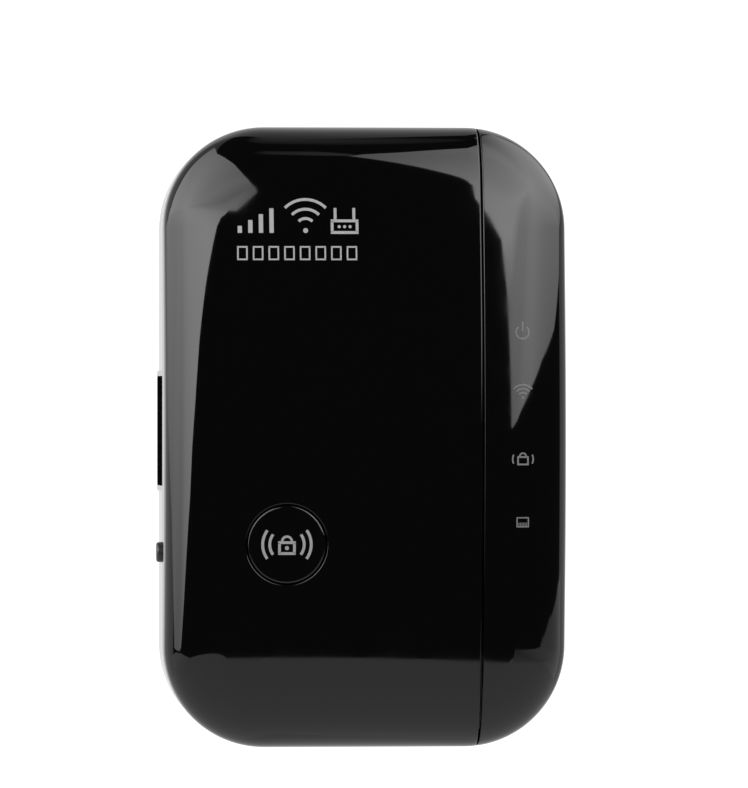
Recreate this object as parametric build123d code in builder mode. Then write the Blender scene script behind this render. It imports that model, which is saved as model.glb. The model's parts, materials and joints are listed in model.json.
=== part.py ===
"""Plug-in wifi range extender: a glossy two-piece front, a rear housing with the mains plug,
a network port and reset button on the left side, a push button and four indicators in front.

Frame: +Z up, +X to the right of someone who faces the front, front towards -Y.
The origin is the centre of the plug face, where the pins leave it towards +Y. Millimetres.
"""
import os

from build123d import *

os.makedirs("parts", exist_ok=True)

# ---------------------------------------------------------------- driving dimensions
HEIGHT = 80.0
WIDTH = 52.0
CORNER_R = 13.0
WALL = 1.8
FIT = 0.15                # gap between mouldings that slide into each other

# depths along Y, from the front towards the wall socket
FRONT_Y = -45.0           # highest point of the crowned front
PART_Y = -34.0            # plane where front and rear mouldings meet
BACK_Y = -17.0            # outer face of the rear wall
PLUG_FACE_Y = 0.0
PART_GROOVE = 0.2

# crowned front
CROWN_X_R = 150.0
CROWN_Z_R = 175.0
RIM_R = 7.0
SEAM_X = 14.6
SEAM_GAP = 0.2
SEAM_EDGE_R = 0.2
LIP_REACH = 2.2           # how far the indicator cover reaches under the front cover

# rear housing
DRAFT = 1.5
BACK_EDGE_R = 4.0
TONGUE_H = 1.6
TONGUE_T = 0.95
RIB_DEPTH = 2.3

# push button and its switch
BUTTON_X, BUTTON_Z = -10.7, -13.7
BUTTON_R = 5.0
BUTTON_GAP = 0.2
BUTTON_FLANGE_R = 6.1
BUTTON_BACK_Y = -40.9
FLANGE_GAP = 0.3
SWITCH_TOP_Y = -40.3

# tact switch under the button
SWITCH_COVER_Y = -39.2

# indicators
LED_X = 19.7
LED_Z = {"power": 13.7, "wireless": 5.9, "pairing": -2.7, "ethernet": -10.9}
PIPE_W, PIPE_H = 2.6, 3.0
GUIDE_Y, GUIDE_BACK_Y = -40.6, -36.9
BAFFLE_Y = -39.9

# vents and rating label on the rear wall
VENT_Z = [12.5, 15.5, 18.5, 21.5, 24.5, 27.5, -12.5, -15.5, -18.5]
VENT_L, VENT_W = 16.0, 1.3
LABEL_X, LABEL_Z = 6.0, -28.0
LABEL_W, LABEL_H, LABEL_T = 20.0, 10.0, 0.15

# circuit boards
BOARD_T = 1.2
MAIN_FRONT_Y = -36.0
MAIN_BACK_Y = MAIN_FRONT_Y + BOARD_T
MAIN_W, MAIN_H, MAIN_R = 45.2, 72.0, 9.4
POWER_FRONT_Y = -21.6
POWER_BACK_Y = POWER_FRONT_Y + BOARD_T
POWER_X = (-2.0, 21.6)
POWER_Z = (-34.0, 34.0)

NOTCH_GAP = 0.3
SHIELD_X, SHIELD_Z = 6.0, -9.0
SHIELD_W, SHIELD_H, SHIELD_T = 14.0, 12.0, 1.8
ANTENNA_X, ANTENNA_Y, ANTENNA_T = 2.8, -39.0, 0.3

# network port
PORT_Z = 0.8
WINDOW_Y = (-32.9, -22.1)
WINDOW_H = 14.2
COLLAR_T, COLLAR_X = 0.7, -25.95     # flat collar round the window, on the drafted side
JACK_FACE_X = -23.6
JACK_L, JACK_W = 18.0, 15.9
JACK_BACK_Y = -21.6
CAVITY_W, CAVITY_L = 11.9, 14.0
CAVITY_Y = (-32.4, -25.6)

LATCH_W, LATCH_Y = 6.2, -24.3
LATCH_TIP_W, LATCH_TIP_Y, LATCH_TIP_L = 3.4, -23.0, 6.0
CONTACTS, CONTACT_PITCH, CONTACT_T = 8, 1.02, 0.4
CONTACT_X = (-16.8, -10.0)
CONTACT_LOW_Y, CONTACT_TIP_Y = -32.7, -30.6

# transformer on the power board
CORE_X, CORE_Z = 12.0, -1.5
CORE_W, CORE_H, CORE_T = 13.0, 11.4, 6.0
CORE_YOKE, CORE_LIFT = 2.2, 0.8
CORE_WINDOW_H = CORE_H - 2 * CORE_YOKE
CORE_LEG_W, CORE_WINDOW_W = 3.0, 3.0

# link header and insulation sheet
LINK_X, LINK_Z, LINK_PINS, LINK_PITCH = 9.5, -31.0, 4, 2.54
SHEET_Y, SHEET_T, SHEET_X_END = -34.1, 0.3, 20.6

# mains wires
WIRE_R = 0.7

# reset button: a cap that stands proud of the left side, on a side-pressed switch
RESET_Y, RESET_Z = -29.5, -14.9
RESET_CAP_R, RESET_HOLE_R, RESET_FLANGE_R = 1.3, 1.45, 1.9
RESET_CAP_X = -26.55
RESET_FLANGE_X = (-23.8, -23.2)
RESET_STEM_R, RESET_STEM_END_X = 0.8, -21.0
RESET_FACE_X = -22.1
RESET_SWITCH_L, RESET_SWITCH_H, RESET_SWITCH_W = 3.5, 7.0, 6.0

# mains plug, two round pins 19 mm apart
PIN_X = 9.5
PIN_R = 2.0
PIN_NECK_R = 1.3
SLEEVE_R = 1.75
SLEEVE_END_Y = 10.0
PIN_END_Y = 19.0
PLUG_FACE_T = 3.0
PLUG_W, PLUG_H = 35.3, 13.7
PIN_FLANGE_R, PIN_FLANGE_T = 3.0, 1.0
RETAINER_T = 2.0
PIN_TAIL_R, PIN_TAIL_Y = 1.0, -10.0
PIN_TIP_R = 1.6
PLUG_EDGE_R = 0.8

# screws
HOUSING_SCREWS = [(-10.0, 32.5), (-10.0, -32.5)]
HOUSING_SCREW_R, HOUSING_HEAD_R = 1.3, 2.4
HOUSING_HEAD_Y = -20.6
HOUSING_SCREW_END_Y = -39.0
PILLAR_R = 4.0
HOUSING_BOSS_R, HOUSING_BOSS_L, HOUSING_HOLE_L = 2.9, 4.2, 3.2
MAIN_SCREWS = [(-19.0, 29.0), (-19.0, -29.0)]
MAIN_BOSS_R, MAIN_BOSS_L = 2.2, 3.4
POWER_SCREWS = [(19.5, 31.0), (0.8, -31.0)]
POWER_POST_R = 2.4
RETAINER_SCREWS = [(-3.5, 0.0), (3.5, 0.0)]
SMALL_SCREW_R, SMALL_HEAD_R, SMALL_HEAD_T = 1.0, 1.9, 1.3
SMALL_SCREW_L = 4.0

# snap legs that hold the front mouldings to the rear one
LEG_T, LEG_W = 1.4, 5.0
LEG_X = 22.3
LEG_ROOT_Y, LEG_END_Y = -39.6, -30.5
BARB_X = 23.6
LEFT_LEGS_Z = [20.0, -22.0]
RIGHT_LEGS_Z = [24.0, -24.0]


# ---------------------------------------------------------------- shared shapes
def facing(y):
    """Sketch plane at depth y, seen from the front: local x is X, local y is Z."""
    return Plane.XZ.offset(-y)


def front_form(inset=0.0):
    """Solid pillow under the crowned front, moved inwards all round by inset."""
    crown_y = FRONT_Y + inset
    reach = WIDTH / 2 + 4
    edge_y = crown_y + reach**2 / (2 * CROWN_X_R)
    with BuildPart() as form:
        with BuildSketch(facing(PART_Y)):
            RectangleRounded(WIDTH - 2 * inset, HEIGHT - 2 * inset, CORNER_R - inset)
        extrude(amount=PART_Y - FRONT_Y + WALL)
        with BuildSketch(Plane.XY):
            with BuildLine():
                crown = ThreePointArc((-reach, edge_y), (0, crown_y), (reach, edge_y))
                Polyline(crown @ 1, (reach, 0), (-reach, 0), crown @ 0)
            make_face()
        revolve(axis=Axis((0, crown_y + CROWN_Z_R, 0), (1, 0, 0)), mode=Mode.INTERSECT)
        fillet(form.faces().sort_by(Axis.Y)[0].edges(), RIM_R - inset)
    return form.part


def rear_form(inset=0.0):
    """Solid drafted rear body, moved inwards all round by inset."""
    front_y = PART_Y + PART_GROOVE
    with BuildPart() as form:
        with BuildSketch(facing(front_y)):
            RectangleRounded(WIDTH - 2 * inset, HEIGHT - 2 * inset, CORNER_R - inset)
        extrude(amount=-(BACK_Y - inset - front_y), taper=DRAFT)
        fillet(form.faces().sort_by(Axis.Y)[-1].edges(), BACK_EDGE_R - inset)
    return form.part


def slab(x, y, z):
    """Plain box between pairs of limits."""
    with BuildPart() as box:
        with BuildSketch(facing(y[1])):
            with Locations(((x[0] + x[1]) / 2, (z[0] + z[1]) / 2)):
                Rectangle(x[1] - x[0], z[1] - z[0])
        extrude(amount=y[1] - y[0])
    return box.part


def plug_outline(inset=0.0):
    """Flattened hexagon of the plug as a sketch."""
    half_w, half_h = PLUG_W / 2 - inset, PLUG_H / 2 - inset
    shoulder_x, tip_z = half_w - half_h * 0.85, half_h * 0.35
    corners = [(half_w, tip_z), (shoulder_x, half_h), (-shoulder_x, half_h), (-half_w, tip_z)]
    corners += [(x, -z) for x, z in reversed(corners)]
    with BuildSketch(facing(PLUG_FACE_Y)) as outline:
        Polygon(*corners, align=None)
        fillet(outline.vertices(), 2.0)
    return outline.sketch


def snap_leg(side, z):
    """Leg with a barb that hooks behind the rib inside the rear housing."""
    outer, inner = side * LEG_X, side * (LEG_X - LEG_T)
    rib_back = PART_Y + RIB_DEPTH + FIT
    with BuildPart() as leg:
        add(slab(sorted((outer, inner)), (LEG_ROOT_Y, LEG_END_Y), (z - LEG_W / 2, z + LEG_W / 2)))
        with BuildSketch(Plane.XY.offset(z - LEG_W / 2)):
            Polygon((inner, rib_back), (side * BARB_X, rib_back), (outer, LEG_END_Y), (inner, LEG_END_Y), align=None)
        extrude(amount=LEG_W)
    return leg.part


def band(form, x_from, x_to):
    """Slice of a front form between two x values, clear of the tongue."""
    return form & slab((x_from, x_to), (FRONT_Y, PART_Y - TONGUE_H - 0.5), (-HEIGHT / 2, HEIGHT / 2))


def ring(y, outer_inset, inner_inset):
    """Rounded frame between two depths, inset from the outline of the body."""
    with BuildPart() as frame:
        with BuildSketch(facing(y[1])):
            for inset, mode in ((outer_inset, Mode.ADD), (inner_inset, Mode.SUBTRACT)):
                RectangleRounded(WIDTH - 2 * inset, HEIGHT - 2 * inset, CORNER_R - inset, mode=mode)
        extrude(amount=y[1] - y[0])
    return frame.part


def disc(x, z, radius, y):
    """Round bar along Y between two depths."""
    with BuildPart() as bar:
        with BuildSketch(facing(y[1])):
            with Locations((x, z)):
                Circle(radius)
        extrude(amount=y[1] - y[0])
    return bar.part


def save(piece, name):
    """Label the finished piece and write its STEP file."""
    piece.part.label = name
    export_step(piece.part, f"parts/{name}.step")


OUTER = front_form()
INNER = front_form(WALL)
LIP_OUTER = front_form(WALL + FIT)
LIP_INNER = front_form(WALL + FIT + TONGUE_T)
LIP_ROOT = front_form(WALL - 0.1)


# ---------------------------------------------------------------- front mouldings
with BuildPart() as front_cover:
    add(OUTER)
    split(bisect_by=Plane.YZ.offset(SEAM_X - SEAM_GAP / 2), keep=Keep.BOTTOM)
    seam_face = front_cover.faces().sort_by(Axis.X)[-1]
    fillet(seam_face.edges().filter_by(lambda edge: edge.center().Y < PART_Y - 0.01), SEAM_EDGE_R)
    add(INNER, mode=Mode.SUBTRACT)
    with BuildSketch(facing(MAIN_FRONT_Y)):
        with Locations(*HOUSING_SCREWS):
            Circle(HOUSING_BOSS_R)
    extrude(amount=HOUSING_BOSS_L)
    with BuildSketch(facing(MAIN_FRONT_Y)):
        with Locations(*MAIN_SCREWS):
            Circle(MAIN_BOSS_R)
    extrude(amount=MAIN_BOSS_L)
    with BuildSketch(facing(MAIN_FRONT_Y)):
        with Locations(*HOUSING_SCREWS):
            Circle(HOUSING_SCREW_R)
    extrude(amount=HOUSING_HOLE_L, mode=Mode.SUBTRACT)
    with BuildSketch(facing(MAIN_FRONT_Y)):
        with Locations(*MAIN_SCREWS):
            Circle(SMALL_SCREW_R)
    extrude(amount=SMALL_SCREW_L - BOARD_T, mode=Mode.SUBTRACT)
    with BuildSketch(facing(MAIN_FRONT_Y)):
        with Locations((BUTTON_X, BUTTON_Z)):
            Circle(BUTTON_R + BUTTON_GAP)
    extrude(amount=12, mode=Mode.SUBTRACT)
    for leg_z in LEFT_LEGS_Z:
        add(snap_leg(-1, leg_z))
save(front_cover, "front_cover")

with BuildPart() as indicator_cover:
    add(OUTER)
    split(bisect_by=Plane.YZ.offset(SEAM_X + SEAM_GAP / 2))
    seam_face = indicator_cover.faces().sort_by(Axis.X)[0]
    fillet(seam_face.edges().filter_by(lambda edge: edge.center().Y < PART_Y - 0.01), SEAM_EDGE_R)
    add(INNER, mode=Mode.SUBTRACT)
    add(band(LIP_ROOT, SEAM_X + SEAM_GAP, SEAM_X + LIP_REACH))
    add(band(LIP_OUTER, SEAM_X - LIP_REACH, SEAM_X + LIP_REACH))
    add(LIP_INNER, mode=Mode.SUBTRACT)
    for leg_z in RIGHT_LEGS_Z:
        add(snap_leg(1, leg_z))
save(indicator_cover, "indicator_cover")


# ---------------------------------------------------------------- rear housing
with BuildPart() as rear_housing:
    add(rear_form())
    with BuildSketch(facing(BACK_Y)):
        add(plug_outline())
    extrude(amount=BACK_Y - PLUG_FACE_Y)
    fillet(rear_housing.faces().sort_by(Axis.Y)[-1].edges(), PLUG_EDGE_R)
    add(rear_form(WALL), mode=Mode.SUBTRACT)
    with BuildSketch(facing(BACK_Y - WALL)):
        add(plug_outline(WALL))
    extrude(amount=BACK_Y - WALL - PLUG_FACE_Y + PLUG_FACE_T, mode=Mode.SUBTRACT)
    # rib inside the front edge, and the tongue that it carries into the front mouldings
    add(ring((PART_Y + PART_GROOVE, PART_Y + RIB_DEPTH), WALL - 0.1, WALL + FIT + TONGUE_T))
    add(ring((PART_Y, PART_Y + RIB_DEPTH), WALL + FIT, WALL + FIT + TONGUE_T))
    add((LIP_OUTER - LIP_INNER) & slab((-WIDTH, WIDTH), (PART_Y - TONGUE_H, PART_Y), (-HEIGHT, HEIGHT)))
    # the network jack reaches the wall through a gap in rib and tongue
    add(
        slab(
            (-WIDTH / 2 + WALL, -WIDTH / 2 + 4),
            (PART_Y - TONGUE_H - 0.4, PART_Y + RIB_DEPTH + 0.2),
            (PORT_Z - JACK_W / 2 - 0.3, PORT_Z + JACK_W / 2 + 0.3),
        ),
        mode=Mode.SUBTRACT,
    )
    # pillars for the two long screws, with a recess in the rear wall for each head
    with BuildSketch(facing(MAIN_BACK_Y + 0.05)):
        with Locations(*HOUSING_SCREWS):
            Circle(PILLAR_R)
    extrude(amount=-(BACK_Y - WALL / 2 - MAIN_BACK_Y))
    with BuildSketch(facing(BACK_Y)):
        with Locations(*HOUSING_SCREWS):
            Circle(HOUSING_HEAD_R + 0.2)
    extrude(amount=BACK_Y - HOUSING_HEAD_Y, mode=Mode.SUBTRACT)
    with BuildSketch(facing(HOUSING_HEAD_Y)):
        with Locations(*HOUSING_SCREWS):
            Circle(HOUSING_SCREW_R + 0.15)
    extrude(amount=HOUSING_HEAD_Y - PART_Y + 4, mode=Mode.SUBTRACT)
    # stand-offs for the power board
    with BuildSketch(facing(POWER_BACK_Y)):
        with Locations(*POWER_SCREWS):
            Circle(POWER_POST_R)
    extrude(amount=-(BACK_Y - WALL / 2 - POWER_BACK_Y))
    with BuildSketch(facing(POWER_BACK_Y)):
        with Locations(*POWER_SCREWS):
            Circle(SMALL_SCREW_R)
    extrude(amount=-(SMALL_SCREW_L - BOARD_T), mode=Mode.SUBTRACT)
    # left side: collar and window of the network port, and hole of the reset button
    with BuildSketch(Plane.YZ.offset(COLLAR_X)):
        with Locations((sum(WINDOW_Y) / 2, PORT_Z)):
            RectangleRounded(WINDOW_Y[1] - WINDOW_Y[0] + 2 * COLLAR_T, WINDOW_H + 2 * COLLAR_T, 1.0)
    extrude(amount=1)
    with BuildSketch(Plane.YZ.offset(-WIDTH / 2 - 1)):
        with Locations((sum(WINDOW_Y) / 2, PORT_Z)):
            RectangleRounded(WINDOW_Y[1] - WINDOW_Y[0], WINDOW_H, 0.6)
        with Locations((RESET_Y, RESET_Z)):
            Circle(RESET_HOLE_R)
    extrude(amount=5, mode=Mode.SUBTRACT)
    # vent slots above and below the plug
    with BuildSketch(facing(BACK_Y - 3)):
        with Locations(*[(0, z) for z in VENT_Z]):
            SlotOverall(VENT_L, VENT_W)
    extrude(amount=-4, mode=Mode.SUBTRACT)
    # shallow recess for the rating label
    with BuildSketch(facing(BACK_Y)):
        with Locations((LABEL_X, LABEL_Z)):
            RectangleRounded(LABEL_W, LABEL_H, 1.0)
    extrude(amount=LABEL_T, mode=Mode.SUBTRACT)
    # pin holes, and blind holes for the retainer screws
    with BuildSketch(facing(PLUG_FACE_Y)):
        with Locations((-PIN_X, 0), (PIN_X, 0)):
            Circle(SLEEVE_R + 0.02)
    extrude(amount=PLUG_FACE_T, mode=Mode.SUBTRACT)
    with BuildSketch(facing(-PLUG_FACE_T - PIN_FLANGE_T)):
        with Locations(*RETAINER_SCREWS):
            Circle(SMALL_HEAD_R)
    extrude(amount=-PIN_FLANGE_T)
    with BuildSketch(facing(-PLUG_FACE_T - PIN_FLANGE_T)):
        with Locations(*RETAINER_SCREWS):
            Circle(SMALL_SCREW_R)
    extrude(amount=-(SMALL_SCREW_L - RETAINER_T), mode=Mode.SUBTRACT)
save(rear_housing, "rear_housing")

with BuildPart() as rating_label:
    with BuildSketch(facing(BACK_Y)):
        with Locations((LABEL_X, LABEL_Z)):
            RectangleRounded(LABEL_W - 0.4, LABEL_H - 0.4, 0.8)
    extrude(amount=LABEL_T)
save(rating_label, "rating_label")


# ---------------------------------------------------------------- mains plug
RETAINER_FRONT_Y = -PLUG_FACE_T - PIN_FLANGE_T - RETAINER_T
for side, name in ((-1, "left"), (1, "right")):
    with BuildPart() as plug_pin:
        add(disc(side * PIN_X, 0, PIN_TAIL_R, (PIN_TAIL_Y, RETAINER_FRONT_Y)))
        add(disc(side * PIN_X, 0, PIN_NECK_R, (RETAINER_FRONT_Y, SLEEVE_END_Y)))
        add(disc(side * PIN_X, 0, PIN_FLANGE_R, (-PLUG_FACE_T - PIN_FLANGE_T, -PLUG_FACE_T)))
        add(disc(side * PIN_X, 0, PIN_R, (SLEEVE_END_Y, PIN_END_Y)))
        fillet(plug_pin.faces().sort_by(Axis.Y)[-1].edges(), PIN_TIP_R)
    save(plug_pin, f"plug_pin_{name}")

    with BuildPart() as pin_sleeve:
        add(disc(side * PIN_X, 0, SLEEVE_R, (-PLUG_FACE_T, SLEEVE_END_Y)))
        add(disc(side * PIN_X, 0, PIN_NECK_R, (-PLUG_FACE_T, SLEEVE_END_Y)), mode=Mode.SUBTRACT)
    save(pin_sleeve, f"pin_sleeve_{name}")

with BuildPart() as pin_retainer:
    with BuildSketch(facing(RETAINER_FRONT_Y + RETAINER_T)):
        add(plug_outline(WALL + 0.4))
        with Locations((-PIN_X, 0), (PIN_X, 0)):
            Circle(PIN_NECK_R + 0.05, mode=Mode.SUBTRACT)
        with Locations(*RETAINER_SCREWS):
            Circle(SMALL_SCREW_R + 0.1, mode=Mode.SUBTRACT)
    extrude(amount=RETAINER_T)
save(pin_retainer, "pin_retainer")


# ---------------------------------------------------------------- screws
def small_screw(x, z, seat_y, direction):
    """Pan-head screw whose shank leaves the seat plane in the given Y direction."""
    head = sorted((seat_y, seat_y - direction * SMALL_HEAD_T))
    shank = sorted((seat_y, seat_y + direction * SMALL_SCREW_L))
    with BuildPart() as screw:
        add(disc(x, z, SMALL_HEAD_R, head))
        rim = screw.edges().filter_by(GeomType.CIRCLE).sort_by(Axis.Y)[0 if direction > 0 else -1]
        fillet(rim, 0.5)
        add(disc(x, z, SMALL_SCREW_R, shank))
        top_y = seat_y - direction * SMALL_HEAD_T
        recess = sorted((top_y, top_y + direction * 0.7))
        add(slab((x - 1.1, x + 1.1), recess, (z - 0.25, z + 0.25)), mode=Mode.SUBTRACT)
        add(slab((x - 0.25, x + 0.25), recess, (z - 1.1, z + 1.1)), mode=Mode.SUBTRACT)
    return screw.part


with BuildPart() as retainer_screws:
    for screw_x, screw_z in RETAINER_SCREWS:
        add(small_screw(screw_x, screw_z, RETAINER_FRONT_Y, 1))
save(retainer_screws, "retainer_screws")

with BuildPart() as board_screws:
    for screw_x, screw_z in MAIN_SCREWS:
        add(small_screw(screw_x, screw_z, MAIN_BACK_Y, -1))
    for screw_x, screw_z in POWER_SCREWS:
        add(small_screw(screw_x, screw_z, POWER_FRONT_Y, 1))
save(board_screws, "board_screws")

with BuildPart() as housing_screws:
    for screw_x, screw_z in HOUSING_SCREWS:
        add(disc(screw_x, screw_z, HOUSING_HEAD_R, (HOUSING_HEAD_Y, HOUSING_HEAD_Y + 1.7)))
    head_tops = housing_screws.faces().filter_by_position(Axis.Y, HOUSING_HEAD_Y + 1.6, HOUSING_HEAD_Y + 1.8)
    fillet(head_tops.edges(), 0.7)
    for screw_x, screw_z in HOUSING_SCREWS:
        add(disc(screw_x, screw_z, HOUSING_SCREW_R, (HOUSING_SCREW_END_Y, HOUSING_HEAD_Y)))
        recess_y = (HOUSING_HEAD_Y + 0.7, HOUSING_HEAD_Y + 1.7)
        for angle in (0, 90):
            with BuildSketch(facing(recess_y[1])):
                with Locations(Location((screw_x, screw_z), angle)):
                    Rectangle(3.0, 0.6)
            extrude(amount=recess_y[1] - recess_y[0], mode=Mode.SUBTRACT)
save(housing_screws, "housing_screws")


# ---------------------------------------------------------------- push button and its switch
with BuildPart() as push_button:
    add(OUTER & disc(BUTTON_X, BUTTON_Z, BUTTON_R, (FRONT_Y - 1, BUTTON_BACK_Y)))
    fillet(push_button.faces().sort_by(Axis.Y)[0].edges(), 0.25)
    add(Pos(0, FLANGE_GAP, 0) * INNER & disc(BUTTON_X, BUTTON_Z, BUTTON_FLANGE_R, (FRONT_Y, BUTTON_BACK_Y)))
    with BuildSketch(facing(SWITCH_TOP_Y)):
        with Locations((BUTTON_X, BUTTON_Z)):
            Circle(2.0)
    extrude(amount=SWITCH_TOP_Y - BUTTON_BACK_Y)
save(push_button, "push_button")

with BuildPart() as switch_base:
    add(slab((BUTTON_X - 3, BUTTON_X + 3), (SWITCH_COVER_Y, MAIN_FRONT_Y), (BUTTON_Z - 3, BUTTON_Z + 3)))
    add(disc(BUTTON_X, BUTTON_Z, 2.3, (SWITCH_COVER_Y, SWITCH_COVER_Y + 1.4)), mode=Mode.SUBTRACT)
save(switch_base, "switch_base")

with BuildPart() as switch_cover:
    add(slab((BUTTON_X - 2.9, BUTTON_X + 2.9), (SWITCH_COVER_Y - 0.3, SWITCH_COVER_Y),
             (BUTTON_Z - 2.9, BUTTON_Z + 2.9)))
    fillet(switch_cover.edges().filter_by(Axis.Y), 0.5)
    add(disc(BUTTON_X, BUTTON_Z, 1.95, (SWITCH_COVER_Y - 0.3, SWITCH_COVER_Y)), mode=Mode.SUBTRACT)
save(switch_cover, "switch_cover")

with BuildPart() as switch_plunger:
    add(disc(BUTTON_X, BUTTON_Z, 1.7, (SWITCH_TOP_Y, SWITCH_COVER_Y + 0.9)))
save(switch_plunger, "switch_plunger")

with BuildPart() as reset_switch_base:
    add(
        slab(
            (RESET_FACE_X, RESET_FACE_X + RESET_SWITCH_L),
            (MAIN_BACK_Y, MAIN_BACK_Y + RESET_SWITCH_H),
            (RESET_Z - RESET_SWITCH_W / 2, RESET_Z + RESET_SWITCH_W / 2),
        )
    )
    with BuildSketch(Plane.YZ.offset(RESET_FACE_X)):
        with Locations((RESET_Y, RESET_Z)):
            Circle(RESET_STEM_R + 0.05)
    extrude(amount=1.6, mode=Mode.SUBTRACT)
save(reset_switch_base, "reset_switch_base")

with BuildPart() as reset_plunger:
    for radius, x_from, x_to in (
        (RESET_CAP_R, RESET_CAP_X, RESET_FLANGE_X[0]),
        (RESET_FLANGE_R, *RESET_FLANGE_X),
        (RESET_STEM_R, RESET_FLANGE_X[1], RESET_STEM_END_X),
    ):
        with BuildSketch(Plane.YZ.offset(x_from)):
            with Locations((RESET_Y, RESET_Z)):
                Circle(radius)
        extrude(amount=x_to - x_from)
    fillet(reset_plunger.faces().sort_by(Axis.X)[0].edges(), 0.3)
save(reset_plunger, "reset_plunger")


# ---------------------------------------------------------------- main board
with BuildPart() as main_board:
    with BuildSketch(facing(MAIN_BACK_Y)):
        RectangleRounded(MAIN_W, MAIN_H, MAIN_R)
        with Locations(*[(-LEG_X, z) for z in LEFT_LEGS_Z], *[(LEG_X, z) for z in RIGHT_LEGS_Z]):
            Rectangle(2 * (LEG_T + NOTCH_GAP), LEG_W + 2 * NOTCH_GAP, mode=Mode.SUBTRACT)
        with Locations(*HOUSING_SCREWS):
            Circle(HOUSING_SCREW_R + 0.3, mode=Mode.SUBTRACT)
        with Locations(*MAIN_SCREWS):
            Circle(SMALL_SCREW_R + 0.2, mode=Mode.SUBTRACT)
    extrude(amount=BOARD_T)
save(main_board, "main_board")


def on_front(x, z, w, h, t):
    """Block of the given width, height and thickness on the front of the main board."""
    return slab((x - w / 2, x + w / 2), (MAIN_FRONT_Y - t, MAIN_FRONT_Y), (z - h / 2, z + h / 2))


FRONT_CHIPS = {
    # name: x, z, width, height, thickness
    "router_chip": (-2.0, 6.0, 11.0, 11.0, 1.1),
    "memory_chip": (-2.0, 21.0, 12.0, 8.0, 1.1),
    "flash_chip": (-14.5, 6.0, 5.2, 5.2, 1.6),
    "crystal": (7.0, 9.0, 3.2, 2.5, 0.8),
    "ethernet_transformer": (-11.5, -24.0, 7.0, 9.4, 3.8),
}
for name, (x, z, w, h, t) in FRONT_CHIPS.items():
    with BuildPart() as chip:
        add(on_front(x, z, w, h, t))
        chamfer(chip.faces().sort_by(Axis.Y)[0].edges(), 0.15)
    save(chip, name)


def gull_leads(x, z, body_w, count, pitch, width):
    """Two rows of bent leads, left and right of a chip body on the main board."""
    profile = [(0, -0.7), (0.35, -0.7), (0.55, -0.12), (1.1, -0.12), (1.1, 0), (0.45, 0), (0.28, -0.58), (0, -0.58)]
    with BuildPart() as leads:
        for side in (-1, 1):
            for i in range(count):
                foot_z = z + (i - (count - 1) / 2) * pitch - width / 2
                with BuildSketch(Plane.XY.offset(foot_z)):
                    Polygon(*[(x + side * (body_w / 2 + dx), MAIN_FRONT_Y + dy) for dx, dy in profile], align=None)
                extrude(amount=width)
    return leads.part


with BuildPart() as chip_leads:
    add(gull_leads(-2.0, 21.0, 12.0, 9, 0.8, 0.35))
    add(gull_leads(-14.5, 6.0, 5.2, 4, 1.27, 0.4))
    add(gull_leads(-11.5, -24.0, 7.0, 8, 1.1, 0.45))
save(chip_leads, "chip_leads")

with BuildPart() as radio_shield:
    add(on_front(SHIELD_X, SHIELD_Z, SHIELD_W, SHIELD_H, SHIELD_T))
    fillet(radio_shield.edges().filter_by(Axis.Y), 0.6)
    fillet(radio_shield.faces().sort_by(Axis.Y)[0].edges(), 0.3)
    add(on_front(SHIELD_X, SHIELD_Z, SHIELD_W - 0.4, SHIELD_H - 0.4, SHIELD_T - 0.2), mode=Mode.SUBTRACT)
save(radio_shield, "radio_shield")

def antenna_strip(side, x, y, z):
    """Strip of an antenna, x counted outwards from the middle of the pair."""
    return slab(sorted((ANTENNA_X + side * x[0], ANTENNA_X + side * x[1])), y, z)


# stamped antennas: two feet on the board and a folded radiating strip that stands off it
ANTENNA_LEAF = (ANTENNA_Y, ANTENNA_Y + ANTENNA_T)
ANTENNA_FOOT = (ANTENNA_Y, MAIN_FRONT_Y)
for side, name in ((-1, "left"), (1, "right")):
    with BuildPart() as antenna:
        add(antenna_strip(side, (1.6, 9.6), ANTENNA_LEAF, (31.0, 33.2)))
        add(antenna_strip(side, (1.6, 2.2), ANTENNA_FOOT, (31.0, 33.2)))
        add(antenna_strip(side, (4.2, 4.8), ANTENNA_FOOT, (30.4, 31.6)))
        add(antenna_strip(side, (4.2, 9.6), ANTENNA_LEAF, (28.4, 29.6)))
        add(antenna_strip(side, (8.8, 9.6), ANTENNA_LEAF, (28.4, 33.2)))
        add(antenna_strip(side, (4.2, 4.8), ANTENNA_LEAF, (28.4, 31.6)))
    save(antenna, f"antenna_{name}")


# ---------------------------------------------------------------- indicators
for name, led_z in LED_Z.items():
    with BuildPart() as led:
        add(on_front(LED_X, led_z, 1.0, 1.9, 0.3))
        add(on_front(LED_X, led_z, 1.0, 1.3, 0.7))
    save(led, f"led_{name}")

with BuildPart() as light_baffle:
    z_low, z_high = min(LED_Z.values()) - 3.2, max(LED_Z.values()) + 3.2
    add(slab((LED_X - 2.2, LED_X + 2.2), (BAFFLE_Y, MAIN_FRONT_Y), (z_low, z_high)))
    for led_z in LED_Z.values():
        add(on_front(LED_X, led_z, PIPE_W + 0.3, PIPE_H + 0.3, 8.0), mode=Mode.SUBTRACT)
save(light_baffle, "light_baffle")

with BuildPart() as light_guide:
    half_w, half_h = PIPE_W / 2, PIPE_H / 2
    for led_z in LED_Z.values():
        add(slab((LED_X - half_w, LED_X + half_w), (GUIDE_Y, GUIDE_BACK_Y), (led_z - half_h, led_z + half_h)))
    add(slab((LED_X - half_w, LED_X + half_w), (GUIDE_Y, BAFFLE_Y - 0.05), (z_low + 1.0, z_high - 1.0)))
save(light_guide, "light_guide")


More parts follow.
